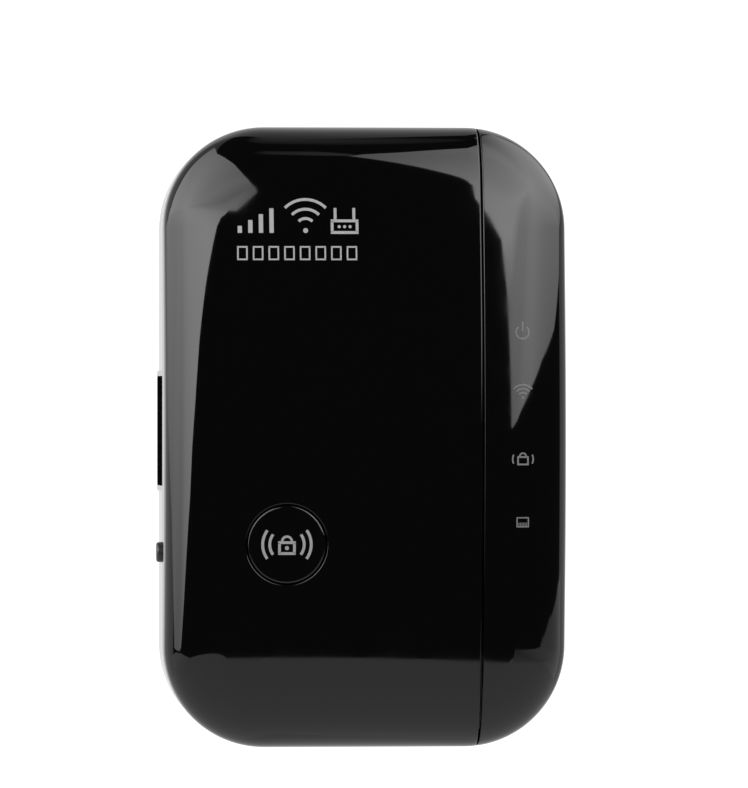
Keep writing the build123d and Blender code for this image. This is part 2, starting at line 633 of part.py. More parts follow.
# ---------------------------------------------------------------- network port
with BuildPart() as ethernet_jack:
    jack_z = (PORT_Z - JACK_W / 2, PORT_Z + JACK_W / 2)
    add(slab((JACK_FACE_X, JACK_FACE_X + JACK_L), (MAIN_BACK_Y, JACK_BACK_Y), jack_z))
    fillet(ethernet_jack.edges().filter_by(Axis.X).sort_by(Axis.Y)[-2:], 0.6)
    # plug cavity, then the two steps of the latch channel
    for width, y, length in (
        (CAVITY_W, CAVITY_Y, CAVITY_L),
        (LATCH_W, (CAVITY_Y[1], LATCH_Y), CAVITY_L),
        (LATCH_TIP_W, (LATCH_Y, LATCH_TIP_Y), LATCH_TIP_L),
    ):
        add(
            slab((JACK_FACE_X, JACK_FACE_X + length), y, (PORT_Z - width / 2, PORT_Z + width / 2)),
            mode=Mode.SUBTRACT,
        )
    # groove that each contact wire lies in
    for i in range(CONTACTS):
        groove_z = PORT_Z + (i - (CONTACTS - 1) / 2) * CONTACT_PITCH
        add(
            slab(
                (CONTACT_X[0] - 0.4, CONTACT_X[1] + 0.4),
                (CONTACT_LOW_Y - 0.5, CAVITY_Y[0]),
                (groove_z - CONTACT_T / 2 - 0.1, groove_z + CONTACT_T / 2 + 0.1),
            ),
            mode=Mode.SUBTRACT,
        )
save(ethernet_jack, "ethernet_jack")

with BuildPart() as jack_contacts:
    for i in range(CONTACTS):
        wire_z = PORT_Z + (i - (CONTACTS - 1) / 2) * CONTACT_PITCH
        with BuildSketch(Plane.XY.offset(wire_z - CONTACT_T / 2)):
            with BuildLine():
                FilletPolyline(
                    (CONTACT_X[1], CONTACT_LOW_Y),
                    (CONTACT_X[0], CONTACT_LOW_Y),
                    (CONTACT_X[1] - 0.6, CONTACT_TIP_Y),
                    radius=0.35,
                )
            trace(line_width=CONTACT_T)
        extrude(amount=CONTACT_T)
save(jack_contacts, "jack_contacts")


# ---------------------------------------------------------------- power board
with BuildPart() as power_board:
    with BuildSketch(facing(POWER_BACK_Y)):
        with Locations((sum(POWER_X) / 2, sum(POWER_Z) / 2)):
            RectangleRounded(POWER_X[1] - POWER_X[0], POWER_Z[1] - POWER_Z[0], 2.0)
        with Locations((POWER_X[1], POWER_Z[0]), (POWER_X[1], POWER_Z[1])):
            Circle(5.5, mode=Mode.SUBTRACT)
        with Locations(*POWER_SCREWS):
            Circle(SMALL_SCREW_R + 0.2, mode=Mode.SUBTRACT)
    extrude(amount=BOARD_T)
save(power_board, "power_board")


def on_power(x, z, w, h, t, lift=0.0):
    """Block of the given width, height and thickness on the front of the power board."""
    front_y = POWER_FRONT_Y - lift
    return slab((x - w / 2, x + w / 2), (front_y - t, front_y), (z - h / 2, z + h / 2))


POWER_CHIPS = {
    # name: x, z, width, height, thickness
    "bridge_rectifier": (3.5, 6.5, 6.4, 4.6, 2.4),
    "controller_chip": (18.6, 12.0, 3.9, 4.9, 1.6),
    "output_diode": (14.5, -14.5, 2.6, 4.4, 2.3),
}
for name, (x, z, w, h, t) in POWER_CHIPS.items():
    with BuildPart() as chip:
        add(on_power(x, z, w, h, t))
        chamfer(chip.faces().sort_by(Axis.Y)[0].edges(), 0.2)
    save(chip, name)

CAPACITORS = {
    # name: x, z, radius, height
    "bulk_capacitor_upper": (3.2, 28.0, 4.0, 11.5),
    "bulk_capacitor_lower": (3.2, 18.5, 4.0, 11.5),
    "output_capacitor": (5.0, -18.5, 3.15, 9.0),
}
for name, (x, z, radius, height) in CAPACITORS.items():
    with BuildPart() as capacitor:
        add(disc(x, z, radius, (POWER_FRONT_Y - height, POWER_FRONT_Y)))
        fillet(capacitor.edges().filter_by(GeomType.CIRCLE), 0.5)
        with BuildSketch(facing(POWER_FRONT_Y - height)):
            with Locations((x, z)):
                for angle in (0, 60, 120):
                    Rectangle(2 * radius - 2.4, 0.2, rotation=angle)
        extrude(amount=-0.15, mode=Mode.SUBTRACT)
    save(capacitor, name)

CHOKE_X, CHOKE_Z = 12.0, 27.2
CHOKE_R, CHOKE_COIL_R, CHOKE_H, CHOKE_FLANGE_H = 3.0, 2.2, 8.0, 1.0
with BuildPart() as input_choke:
    add(disc(CHOKE_X, CHOKE_Z, CHOKE_COIL_R, (POWER_FRONT_Y - CHOKE_H, POWER_FRONT_Y)))
    for flange_y in (POWER_FRONT_Y - CHOKE_H, POWER_FRONT_Y - CHOKE_FLANGE_H):
        add(disc(CHOKE_X, CHOKE_Z, CHOKE_R, (flange_y, flange_y + CHOKE_FLANGE_H)))
save(input_choke, "input_choke")

RESISTOR_X, RESISTOR_Z = 12.0, 19.8
RESISTOR_R, RESISTOR_L, RESISTOR_LIFT = 1.6, 4.6, 1.9
RESISTOR_LEAD_R, RESISTOR_LEAD_SPAN = 0.35, 7.2
with BuildPart() as fuse_resistor:
    lead_y = POWER_FRONT_Y - RESISTOR_LIFT
    lead_z = (RESISTOR_Z - RESISTOR_LEAD_SPAN / 2, RESISTOR_Z + RESISTOR_LEAD_SPAN / 2)
    with BuildLine() as lead:
        FilletPolyline(
            (RESISTOR_X, POWER_FRONT_Y, lead_z[0]),
            (RESISTOR_X, lead_y, lead_z[0]),
            (RESISTOR_X, lead_y, lead_z[1]),
            (RESISTOR_X, POWER_FRONT_Y, lead_z[1]),
            radius=0.9,
        )
    with BuildSketch(Plane(origin=lead.line @ 0, z_dir=lead.line % 0)):
        Circle(RESISTOR_LEAD_R)
    sweep(path=lead.line)
    with BuildSketch(Plane.XY.offset(RESISTOR_Z - RESISTOR_L / 2)):
        with Locations((RESISTOR_X, lead_y)):
            Circle(RESISTOR_R)
    extrude(amount=RESISTOR_L)
    fillet(fuse_resistor.edges().filter_by(GeomType.CIRCLE).group_by(SortBy.RADIUS)[-1], 0.5)
save(fuse_resistor, "fuse_resistor")

DISC_X, DISC_Z = (17.0, 20.2), -20.5
DISC_R, DISC_LIFT = 3.6, 5.0
DISC_LEAD_R, DISC_LEAD_SPAN, DISC_LEAD_L = 0.3, 4.8, 4.0
with BuildPart() as safety_capacitor:
    with BuildSketch(Plane.YZ.offset(DISC_X[0])):
        with Locations((POWER_FRONT_Y - DISC_LIFT, DISC_Z)):
            Circle(DISC_R)
    extrude(amount=DISC_X[1] - DISC_X[0])
    fillet(safety_capacitor.edges(), 1.2)
    for lead_z in (DISC_Z - DISC_LEAD_SPAN / 2, DISC_Z + DISC_LEAD_SPAN / 2):
        with BuildSketch(facing(POWER_FRONT_Y)):
            with Locations((sum(DISC_X) / 2, lead_z)):
                Circle(DISC_LEAD_R)
        extrude(amount=DISC_LEAD_L)
save(safety_capacitor, "safety_capacitor")

# transformer: ferrite core, wound bobbin, and its pins in the board
with BuildPart() as transformer_core:
    add(on_power(CORE_X, CORE_Z, CORE_W, CORE_T, CORE_H, CORE_LIFT))
    for side in (-1, 1):
        window_x = CORE_X + side * (CORE_LEG_W + CORE_WINDOW_W) / 2
        add(
            on_power(window_x, CORE_Z, CORE_WINDOW_W, CORE_T, CORE_WINDOW_H, CORE_LIFT + CORE_YOKE),
            mode=Mode.SUBTRACT,
        )
save(transformer_core, "transformer_core")

TUBE_W, TUBE_T = CORE_LEG_W + 1.4, CORE_T + 1.4
FLANGE_W, FLANGE_T = CORE_LEG_W + 2 * CORE_WINDOW_W - 0.4, CORE_T + 6.0
with BuildPart() as transformer_bobbin:
    lift = CORE_LIFT + CORE_YOKE + 0.1
    height = CORE_WINDOW_H - 0.2
    add(on_power(CORE_X, CORE_Z, TUBE_W, TUBE_T, height, lift))
    add(on_power(CORE_X, CORE_Z, FLANGE_W, FLANGE_T, 0.8, lift))
    add(on_power(CORE_X, CORE_Z, FLANGE_W, FLANGE_T, 0.8, lift + height - 0.8))
    for side in (-1, 1):
        foot_z = CORE_Z + side * (FLANGE_T / 2 - 1.1)
        add(on_power(CORE_X, foot_z, FLANGE_W, 2.0, lift + 0.5, 0.0))
    add(on_power(CORE_X, CORE_Z, CORE_LEG_W + 0.2, CORE_T + 0.2, height, lift), mode=Mode.SUBTRACT)
save(transformer_bobbin, "transformer_bobbin")

with BuildPart() as transformer_winding:
    with BuildSketch(facing(POWER_FRONT_Y - lift - 0.85)):
        with Locations((CORE_X, CORE_Z)):
            RectangleRounded(FLANGE_W - 0.8, FLANGE_T - 1.2, 1.8)
            Rectangle(TUBE_W + 0.05, TUBE_T + 0.05, mode=Mode.SUBTRACT)
    extrude(amount=height - 1.7)
save(transformer_winding, "transformer_winding")

# link between the two boards
with BuildPart() as board_link_header:
    add(on_power(LINK_X, LINK_Z, LINK_PINS * LINK_PITCH, 2.5, 2.5))
    chamfer(board_link_header.faces().sort_by(Axis.Y)[0].edges(), 0.3)
    for i in range(LINK_PINS):
        pin_x = LINK_X + (i - (LINK_PINS - 1) / 2) * LINK_PITCH
        add(on_power(pin_x, LINK_Z, 0.66, 0.66, 2.5), mode=Mode.SUBTRACT)
save(board_link_header, "board_link_header")

with BuildPart() as board_link_pins:
    for i in range(LINK_PINS):
        pin_x = LINK_X + (i - (LINK_PINS - 1) / 2) * LINK_PITCH
        add(slab((pin_x - 0.32, pin_x + 0.32), (MAIN_BACK_Y, POWER_FRONT_Y), (LINK_Z - 0.32, LINK_Z + 0.32)))
save(board_link_pins, "board_link_pins")

with BuildPart() as insulation_sheet:
    with BuildSketch(facing(SHEET_Y)):
        with Locations(((POWER_X[0] + SHEET_X_END) / 2, 2.0)):
            RectangleRounded(SHEET_X_END - POWER_X[0], 60.0, 2.0)
    extrude(amount=SHEET_T)
save(insulation_sheet, "insulation_sheet")


# ---------------------------------------------------------------- mains wires
def mains_wire(route, radii):
    """Insulated wire along straight runs joined by arcs."""
    with BuildPart() as wire:
        with BuildLine() as path:
            FilletPolyline(*route, radius=radii)
        with BuildSketch(Plane(origin=route[0], z_dir=path.line % 0)):
            Circle(WIRE_R)
        sweep(path=path.line)
    return wire


for name, route, radii in (
    ("live_wire", [(9.5, -10, 0), (9.5, -14.0, 0), (9.5, -16.4, 2.0), (9.5, -20.4, 2.0)], [2.2, 2.2]),
    ("neutral_wire", [(-9.5, -10, 0), (-9.5, -13.5, 0), (0.8, -16.2, 0), (0.8, -20.4, 0)], [2.2, 2.2]),
):
    save(mains_wire(route, radii), name)
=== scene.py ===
"""Looks of the plug-in wifi range extender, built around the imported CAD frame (metres)."""

import json
import math

import bmesh
import bpy
import numpy as np
from mathutils import Matrix, Vector


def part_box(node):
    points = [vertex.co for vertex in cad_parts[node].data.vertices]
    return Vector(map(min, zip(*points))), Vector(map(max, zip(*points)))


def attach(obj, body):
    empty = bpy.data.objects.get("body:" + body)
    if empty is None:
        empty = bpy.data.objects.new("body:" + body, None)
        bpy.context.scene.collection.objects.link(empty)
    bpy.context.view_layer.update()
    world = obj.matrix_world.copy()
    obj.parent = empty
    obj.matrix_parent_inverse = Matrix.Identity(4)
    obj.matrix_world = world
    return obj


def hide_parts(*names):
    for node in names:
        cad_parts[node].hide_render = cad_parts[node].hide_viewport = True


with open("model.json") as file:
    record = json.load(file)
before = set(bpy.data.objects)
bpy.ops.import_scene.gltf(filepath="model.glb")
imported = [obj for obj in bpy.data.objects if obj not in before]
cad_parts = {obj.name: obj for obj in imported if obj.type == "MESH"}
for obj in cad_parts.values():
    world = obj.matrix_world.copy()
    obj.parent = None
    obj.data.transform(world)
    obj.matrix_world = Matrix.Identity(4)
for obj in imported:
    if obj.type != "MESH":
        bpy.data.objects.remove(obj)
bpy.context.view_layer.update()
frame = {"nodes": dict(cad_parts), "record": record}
NODES = frame["nodes"]
MM = 0.001
MICROMETRE = 1e-6


# ---------------------------------------------------------------- camera
VIEW_AZIMUTH = math.radians(-5.0)   # slightly left of the front
CAMERA_DISTANCE = 1.1
CAMERA_CLIP = 0.01
SENSOR = 36.0
FRAME_SPAN = 0.1018088              # height of the frame at the object
AIM_DEPTH = -0.034                  # depth of the parting line between front and housing
AIM_RIGHT, AIM_UP = 0.00135, 0.00556


def add_camera():
    """Long-lens camera, aimed so that the object sits a little low and left of centre."""
    look = Vector((-math.sin(VIEW_AZIMUTH), math.cos(VIEW_AZIMUTH), 0))
    right = Vector((math.cos(VIEW_AZIMUTH), math.sin(VIEW_AZIMUTH), 0))
    aim = Vector((0, AIM_DEPTH, 0)) + right * AIM_RIGHT + Vector((0, 0, AIM_UP))
    data = bpy.data.cameras.new("camera")
    data.lens = SENSOR * CAMERA_DISTANCE / FRAME_SPAN
    data.sensor_width = SENSOR
    data.clip_start = CAMERA_CLIP
    camera = bpy.data.objects.new("camera", data)
    camera.location = aim - look * CAMERA_DISTANCE
    camera.rotation_euler = look.to_track_quat("-Z", "Y").to_euler()
    bpy.context.collection.objects.link(camera)
    bpy.context.scene.camera = camera


# ---------------------------------------------------------------- materials
GRAIN_DETAIL, PATCH_DETAIL, TEXTURE_DETAIL = 3, 2, 4
PATCH_SIZE = 8                      # size of the tone's patches, in grains
SHINE_FROM = (0.3, 0.7)             # part of the noise that drives the roughness
TONE_STOPS = (0.3, 0.7)
LEAST_ROUGHNESS = 0.01
BACK_TEXTURE_Y = (-18.6, -17.4)     # mm: the housing's polish ends, its texture is full
BACK_TEXTURE_ROUGHNESS = 0.4
BACK_TEXTURE_GRAIN = 0.22           # mm
BACK_TEXTURE_DEPTH = 14             # micrometres
GUIDE_TRANSMISSION = 0.85


def add_noise(mat, place, size, detail):
    """Noise with a pattern of the given size in mm."""
    noise = mat.node_tree.nodes.new("ShaderNodeTexNoise")
    noise.inputs["Scale"].default_value = 1 / (size * MM)
    noise.inputs["Detail"].default_value = detail
    mat.node_tree.links.new(place.outputs["Object"], noise.inputs["Vector"])
    return noise


def add_range(mat, source, from_min, from_max):
    """Map Range node fed by a socket."""
    node = mat.node_tree.nodes.new("ShaderNodeMapRange")
    node.inputs["From Min"].default_value = from_min
    node.inputs["From Max"].default_value = from_max
    mat.node_tree.links.new(source, node.inputs["Value"])
    return node


def add_relief(mat, noise, depth):
    """Bump of the given depth in micrometres from a noise."""
    shader, links = mat.node_tree.nodes["Principled BSDF"], mat.node_tree.links
    relief = mat.node_tree.nodes.new("ShaderNodeBump")
    relief.inputs["Distance"].default_value = depth * MICROMETRE
    links.new(noise.outputs["Fac"], relief.inputs["Height"])
    links.new(relief.outputs["Normal"], shader.inputs["Normal"])
    return relief


def material(name, colour, roughness, metallic=0.0, grain=0.4, spread=0.04, bump=0.0, tone=0.0):
    """Principled material whose roughness, relief and tone vary with a fine grain.

    grain is the size of the pattern in mm, spread how far the roughness varies,
    bump the depth of the relief in micrometres, tone how far the colour varies.
    """
    mat = bpy.data.materials.new(name)
    mat.use_nodes = True
    nodes, links = mat.node_tree.nodes, mat.node_tree.links
    shader = nodes["Principled BSDF"]
    shader.inputs["Base Color"].default_value = (*colour, 1)
    shader.inputs["Metallic"].default_value = metallic
    place = nodes.new("ShaderNodeTexCoord")
    noise = add_noise(mat, place, grain, GRAIN_DETAIL)
    shine = add_range(mat, noise.outputs["Fac"], *SHINE_FROM)
    shine.inputs["To Min"].default_value = max(roughness - spread, LEAST_ROUGHNESS)
    shine.inputs["To Max"].default_value = roughness + spread
    links.new(shine.outputs["Result"], shader.inputs["Roughness"])
    if bump:
        add_relief(mat, noise, bump)
    if tone:
        patches = add_noise(mat, place, PATCH_SIZE * grain, PATCH_DETAIL)
        ramp = nodes.new("ShaderNodeValToRGB")
        for stop, share, factor in zip(ramp.color_ramp.elements, TONE_STOPS, (1 - tone, 1 + tone)):
            stop.position = share
            stop.color = (*(min(c * factor, 1) for c in colour), 1)
        links.new(patches.outputs["Fac"], ramp.inputs["Fac"])
        links.new(ramp.outputs["Color"], shader.inputs["Base Color"])
    return mat


def texture_back_wall(mat):
    """Fine spark-eroded texture on the part of the housing that faces the wall."""
    nodes, links = mat.node_tree.nodes, mat.node_tree.links
    shader = nodes["Principled BSDF"]
    polished = shader.inputs["Roughness"].links[0].from_socket
    place = nodes.new("ShaderNodeTexCoord")
    split = nodes.new("ShaderNodeSeparateXYZ")
    links.new(place.outputs["Object"], split.inputs["Vector"])
    mask = add_range(mat, split.outputs["Y"], BACK_TEXTURE_Y[0] * MM, BACK_TEXTURE_Y[1] * MM)
    shine = add_range(mat, mask.outputs["Result"], 0.0, 1.0)
    links.new(polished, shine.inputs["To Min"])
    shine.inputs["To Max"].default_value = BACK_TEXTURE_ROUGHNESS
    links.new(shine.outputs["Result"], shader.inputs["Roughness"])
    texture = add_noise(mat, place, BACK_TEXTURE_GRAIN, TEXTURE_DETAIL)
    relief = add_relief(mat, texture, BACK_TEXTURE_DEPTH)
    links.new(mask.outputs["Result"], relief.inputs["Strength"])


FINISHES = {
    # slot: colour, roughness, metallic, grain mm, roughness spread, relief in micrometres, tone
    "gloss_black": ((0.0012, 0.0012, 0.0014), 0.035, 0, 3.0, 0.012, 0, 0),
    "button_black": ((0.0012, 0.0012, 0.0014), 0.04, 0, 2.0, 0.012, 0, 0),
    "housing_black": ((0.0045, 0.0045, 0.005), 0.07, 0, 1.2, 0.02, 0, 0),
    "label": ((0.52, 0.53, 0.54), 0.34, 0.35, 0.5, 0.06, 2, 0.05),
    "white_plastic": ((0.74, 0.72, 0.66), 0.42, 0, 0.4, 0.06, 6, 0.03),
    "sleeve_black": ((0.012, 0.012, 0.013), 0.42, 0, 0.3, 0.07, 6, 0.15),
    "nickel": ((0.70, 0.67, 0.62), 0.2, 1, 0.25, 0.08, 3, 0.05),
    "screw_steel": ((0.46, 0.45, 0.44), 0.3, 1, 0.2, 0.09, 4, 0.08),
    "inner_black": ((0.014, 0.014, 0.015), 0.46, 0, 0.3, 0.06, 7, 0.12),
    "tin_plate": ((0.66, 0.66, 0.65), 0.27, 1, 0.35, 0.08, 3, 0.06),
    "plunger_grey": ((0.03, 0.031, 0.033), 0.36, 0, 0.3, 0.06, 5, 0.12),
    "board_green": ((0.012, 0.085, 0.035), 0.3, 0, 0.6, 0.08, 6, 0.2),
    "board_tan": ((0.34, 0.22, 0.09), 0.45, 0, 0.6, 0.08, 8, 0.15),
    "chip_black": ((0.018, 0.018, 0.019), 0.5, 0, 0.2, 0.07, 6, 0.15),
    "led_white": ((0.8, 0.8, 0.76), 0.22, 0, 0.3, 0.05, 2, 0.03),
    "clear_guide": ((0.82, 0.86, 0.88), 0.12, 0, 0.8, 0.04, 1, 0.02),
    "jack_black": ((0.016, 0.016, 0.017), 0.34, 0, 0.35, 0.06, 5, 0.12),
    "gold": ((0.86, 0.6, 0.24), 0.22, 1, 0.2, 0.06, 2, 0.05),
    "capacitor_sleeve": ((0.02, 0.03, 0.075), 0.28, 0, 0.5, 0.06, 4, 0.12),
    "choke_ferrite": ((0.05, 0.048, 0.046), 0.55, 0, 0.25, 0.08, 9, 0.2),
    "resistor_blue": ((0.06, 0.2, 0.32), 0.34, 0, 0.3, 0.06, 5, 0.1),
    "disc_blue": ((0.03, 0.16, 0.42), 0.3, 0, 0.4, 0.06, 6, 0.12),
    "ferrite": ((0.045, 0.043, 0.042), 0.6, 0, 0.25, 0.08, 10, 0.2),
    "winding_tape": ((0.78, 0.55, 0.07), 0.3, 0, 0.6, 0.08, 8, 0.1),
    "sheet_film": ((0.06, 0.06, 0.065), 0.32, 0, 0.8, 0.08, 4, 0.08),
    "wire_brown": ((0.13, 0.045, 0.018), 0.38, 0, 0.4, 0.06, 4, 0.08),
    "wire_blue": ((0.015, 0.08, 0.38), 0.38, 0, 0.4, 0.06, 4, 0.08),
    # inks of the prints
    "ink_light": ((0.33, 0.33, 0.33), 0.5, 0, 0.2, 0.06, 1, 0.04),
    "ink_mid": ((0.26, 0.26, 0.26), 0.5, 0, 0.2, 0.06, 1, 0.04),
    "ink_dim": ((0.13, 0.13, 0.13), 0.5, 0, 0.2, 0.06, 1, 0.04),
    "ink_dark": ((0.03, 0.03, 0.032), 0.5, 0, 0.2, 0.06, 1, 0.06),
}
MATERIALS = {name: material(name, *finish) for name, finish in FINISHES.items()}
texture_back_wall(MATERIALS["housing_black"])
guide = MATERIALS["clear_guide"].node_tree.nodes["Principled BSDF"]
guide.inputs["Transmission Weight"].default_value = GUIDE_TRANSMISSION


def finish_nodes():
    """Give every CAD node the finish of its slot."""
    slot_of = {part["node"]: part["material_slot"] for part in frame["record"]["subparts"]}
    for name, node in NODES.items():
        for slot in node.material_slots:
            slot.material = MATERIALS[slot_of[name]]


# ---------------------------------------------------------------- glossy front mouldings, in mm
COVER_LOW, COVER_HIGH = (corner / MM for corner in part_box("front_cover"))
HALF_W, HALF_H, FRONT_Y = -COVER_LOW.x, COVER_HIGH.z, COVER_LOW.y
OUTLINE_R = 13.0
PART_Y = -34.0                      # parting line between the front and the housing
CROWN_X_R, CROWN_Z_R = 150.0, 175.0
RIM_IN, RIM_DEPTH, RIM_POWER = 7.6, 6.3, 2.3    # rim of the crown: reach, depth, squareness
RIM_END_Y = PART_Y - 0.15           # the rim always ends before this
RIM_LIMIT = 8                       # how abruptly it gives way there
WALL = 1.8
NORMAL_STEP = 1e-4
OUTLINE_BAND = 0.002                # nearer than this to the outline, the surface is the level side

CORNER_STEPS = 28                   # points round a corner of the outline
SHORT_STEPS, LONG_STEPS = 32, 64    # points along its sides
RIM_STEPS, CROWN_STEPS = 30, 24     # rows across the rim, and from the rim to the middle line
SPINE = 0.3                         # share of the length that the grid's middle line keeps
WELD = 1e-5
CUT_TOLERANCE = 1e-6

SEAM_X, SEAM_GAP = 14.6, 0.2
EDGE_R = 0.2                        # rounding of both edges of the seam
EDGE_ANGLES = range(0, 90, 15)
SEAM_FADE = 4.0                     # nearer than this to a cut, the wall's inside runs along it
LIP_OFFSETS, LIP_REACH, LIP_BACK_Y = (1.95, 2.9), 2.2, -36.1    # lip of the strip under the cover

BUTTON_LOW, BUTTON_HIGH = (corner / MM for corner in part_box("push_button"))
BUTTON_X, BUTTON_Z = (BUTTON_LOW.x + BUTTON_HIGH.x) / 2, (BUTTON_LOW.z + BUTTON_HIGH.z) / 2
HOLE_R, HOLE_EDGE_R = 5.2, 0.15
HOLE_SIDES = 144
HOLE_EDGE_ANGLES = (0, 18, 36, 54, 70)
CUTTER_BACK, CUTTER_FLARE, CUTTER_LIFT, CUTTER_FRONT = 4.0, 0.28, -0.06, -2.0

LEG_OUT, LEG_IN, BARB_X = 22.3, 20.9, 23.6
LEG_ROOT_Y, BARB_Y, LEG_END_Y, LEG_HALF_W = -39.6, -31.55, -30.5, 2.5
LEFT_LEGS, RIGHT_LEGS = (20.0, -22.0), (24.0, -24.0)
BOSSES = [                          # x, z, outer radius, hole radius, front
    (-10.0, 32.5, 2.9, 1.3, -40.2), (-10.0, -32.5, 2.9, 1.3, -40.2),
    (-19.0, 29.0, 2.2, 1.0, -39.4), (-19.0, -29.0, 2.2, 1.0, -39.4),
]
BOSS_BACK_Y = -36.0
BOSS_SIDES = 48

SHARP_ANGLE = math.radians(32)
FRONT_TOLERANCE, FRONT_INSET = 2e-3, 0.01       # a corner this near the formula is on the front
FRONT_FACING = 0.985                # least cosine between such a face and the formula's normal


def crown_y(x, z):
    """Depth of the doubly curved front, before its rim."""
    across = CROWN_Z_R - CROWN_X_R + np.sqrt(CROWN_X_R**2 - x**2)
    return FRONT_Y + CROWN_Z_R - np.sqrt(across**2 - z**2)


def inset(x, z):
    """Distance inwards from the outline."""
    dx, dz = np.abs(x) - (HALF_W - OUTLINE_R), np.abs(z) - (HALF_H - OUTLINE_R)
    outside = np.hypot(np.maximum(dx, 0), np.maximum(dz, 0))
    return OUTLINE_R - outside - np.minimum(np.maximum(dx, dz), 0)


def front_y(x, z):
    """Depth of the outer front surface, rim included."""
    crown = crown_y(x, z)
    room = RIM_END_Y - crown
    depth = (RIM_DEPTH**-RIM_LIMIT + room**-RIM_LIMIT) ** (-1 / RIM_LIMIT)
    out = 1 - np.clip(inset(x, z), 0, RIM_IN) / RIM_IN
    return crown + depth * (1 - (1 - out**RIM_POWER) ** (1 / RIM_POWER))


def unit(vectors):
    """Rows scaled to length 1."""
    return vectors / np.linalg.norm(vectors, axis=1)[:, None]


def front_normal(x, z):
    """Outward unit normals of the front surface; near the outline they are level."""
    step = NORMAL_STEP
    level_x = inset(x - step, z) - inset(x + step, z)
    level_z = inset(x, z - step) - inset(x, z + step)
    level = np.stack([level_x, 0 * x, level_z], -1) / (2 * step)
    slope_x = (front_y(x + step, z) - front_y(x - step, z)) / (2 * step)
    slope_z = (front_y(x, z + step) - front_y(x, z - step)) / (2 * step)
    sloped = np.stack([slope_x, -np.ones_like(x), slope_z], -1)
    return unit(np.where((inset(x, z) < OUTLINE_BAND)[:, None], level, sloped))


def outline_ring(depth_in):
    """Points round the outline, moved inwards; the same count and order at every depth."""
    half_w, half_h, radius = HALF_W - OUTLINE_R, HALF_H - OUTLINE_R, OUTLINE_R - depth_in
    top, side = (2 * half_w, SHORT_STEPS), (2 * half_h, LONG_STEPS)
    points = []
    for centre_x, centre_z, start, run_x, run_z, (length, count) in (
        (half_w, half_h, 0, -1, 0, top), (-half_w, half_h, 90, 0, -1, side),
        (-half_w, -half_h, 180, 1, 0, top), (half_w, -half_h, 270, 0, 1, side),
    ):
        turns = [math.radians(start + 90 * step / CORNER_STEPS) for step in range(CORNER_STEPS + 1)]
        bend = [(centre_x + radius * math.cos(turn), centre_z + radius * math.sin(turn)) for turn in turns]
        end_x, end_z = bend.pop()
        steps = [length * step / count for step in range(count)]
        points += bend + [(end_x + run_x * gone, end_z + run_z * gone) for gone in steps]
    return np.array(points)


def join_loops(mesh, loops, closed=False):
    """Faces between each loop of vertices and the next; closed joins the last to the first."""
    for low, high in zip(loops, loops[1:] + loops[:1] if closed else loops[1:]):
        for i in range(len(low)):
            j = (i + 1) % len(low)
            mesh.faces.new((low[i], low[j], high[j], high[i]))


def front_grid():
    """Fine grid of the whole outer front surface as an open bmesh."""
    outer = outline_ring(0)
    edge_y = front_y(*outer.T)
    layers = [
        np.column_stack([outer[:, 0], PART_Y + (edge_y - PART_Y) * share, outer[:, 1]])
        for share in (0, 0.5)
    ]
    for step in range(RIM_STEPS + 1):
        turn = math.pi / 2 * step / RIM_STEPS
        ring = outline_ring(RIM_IN * (1 - math.cos(turn) ** (2 / RIM_POWER)))
        layers.append(np.column_stack([ring[:, 0], front_y(*ring.T), ring[:, 1]]))
    rim = outline_ring(RIM_IN)
    for step in range(1, CROWN_STEPS + 1):
        share = step / CROWN_STEPS
        x, z = rim[:, 0] * (1 - share), rim[:, 1] * (1 - share * (1 - SPINE))
        layers.append(np.column_stack([x, front_y(x, z), z]))
    mesh = bmesh.new()
    rows = [[mesh.verts.new(point) for point in layer] for layer in layers]
    for outside, inside in zip(rows, rows[1:]):
        for i in range(len(outside)):
            j = (i + 1) % len(outside)
            mesh.faces.new((outside[i], inside[i], inside[j], outside[j]))
    bmesh.ops.remove_doubles(mesh, verts=mesh.verts, dist=WELD)
    return mesh


def cut(mesh, place, normal, clear):
    """Cut along a plane; with clear, what lies on the normal's side goes."""
    everything = mesh.verts[:] + mesh.edges[:] + mesh.faces[:]
    bmesh.ops.bisect_plane(
        mesh, geom=everything, dist=CUT_TOLERANCE, plane_co=place, plane_no=normal, clear_outer=clear)


